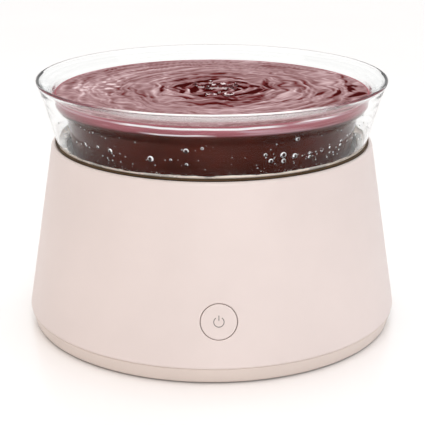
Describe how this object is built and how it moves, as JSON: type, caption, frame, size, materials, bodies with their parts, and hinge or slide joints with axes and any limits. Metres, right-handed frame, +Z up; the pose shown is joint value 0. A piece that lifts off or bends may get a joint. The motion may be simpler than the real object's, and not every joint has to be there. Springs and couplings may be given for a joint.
{
  "type": "paraffin wax bath",
  "caption": "Round paraffin wax bath: a conical heated housing with a front push button and a rear inlet, holding a lift-out double-walled glass bowl of melted wax.",
  "frame": {"origin": "centre of the bounding box's bottom, on the surface the feet stand on, under the axis of the housing and bowl", "axes": "+Z up along the axis of the housing, -Y to the front with the push button, +Y to the rear with the mains inlet"},
  "size_m": [0.2504, 0.2504, 0.1655],
  "materials": {
    "shell": "satin",
    "tray": "satin",
    "button": "satin",
    "gasket": "satin",
    "foot_rubber": "matte",
    "bowl_glass": "polished",
    "wax": "gloss",
    "aluminium": "satin",
    "steel": "satin",
    "brass": "satin",
    "felt": "matte",
    "circuit_board": "satin",
    "black_plastic": "satin",
    "blue_plastic": "satin",
    "white_plastic": "satin",
    "wire_brown": "satin",
    "wire_blue": "satin",
    "wire_green": "satin",
    "wire_white": "satin",
    "wire_grey": "satin"
  },
  "bodies": {
    "housing": {"housing_shell": "shell", "mouth_gasket": "gasket", "base_tray": "tray", "foot_1": "foot_rubber", "foot_2": "foot_rubber", "foot_3": "foot_rubber", "foot_4": "foot_rubber", "base_screw_1": "steel", "base_screw_2": "steel", "base_screw_3": "steel", "base_screw_4": "steel", "well_liner": "aluminium", "heating_plate": "aluminium", "heater_element": "steel", "element_clamp": "steel", "insulation_pad": "felt", "heat_shield": "steel", "shield_screw_1": "steel", "shield_screw_2": "steel", "shield_screw_3": "steel", "thermal_fuse": "white_plastic", "fuse_clip": "steel", "spring_seat": "white_plastic", "sensor_spring": "steel", "control_board": "circuit_board", "board_screw_1": "steel", "board_screw_2": "steel", "board_screw_3": "steel", "board_screw_4": "steel", "relay": "blue_plastic", "supply_transformer": "black_plastic", "supply_capacitor": "black_plastic", "terminal_block": "white_plastic", "power_inlet": "black_plastic", "inlet_pin_live": "brass", "inlet_pin_neutral": "brass", "inlet_pin_earth": "brass", "button_sleeve": "black_plastic", "button_spring": "steel", "switch_board": "circuit_board", "tact_switch": "black_plastic", "live_wire": "wire_brown", "neutral_wire": "wire_blue", "earth_wire": "wire_green", "heater_wire_1": "wire_white", "heater_wire_2": "wire_white", "sensor_lead": "wire_grey", "button_lead": "wire_grey"},
    "bowl": {"glass_bowl": "bowl_glass", "wax_fill": "wax"},
    "button": {"button_cap": "button"},
    "sensor": {"sensor_cup": "aluminium", "temperature_probe": "black_plastic"}
  },
  "joints": [
    {"name": "bowl_lift", "type": "slide", "parent": "housing", "child": "bowl", "axis": [0, 0, 1], "range_m": [0, 0.08]},
    {"name": "button_press", "type": "slide", "parent": "housing", "child": "button", "axis": [0, 0.9873, -0.1591], "range_m": [0, 0.0012], "stiffness_N_per_m": 700, "springref_m": -0.0015, "deforming": ["button_spring"]},
    {"name": "sensor_press", "type": "slide", "parent": "housing", "child": "sensor", "axis": [0, 0, 1], "range_m": [-0.003, 0], "stiffness_N_per_m": 300, "springref_m": 0.004, "deforming": ["sensor_spring", "sensor_lead"]}
  ]
}
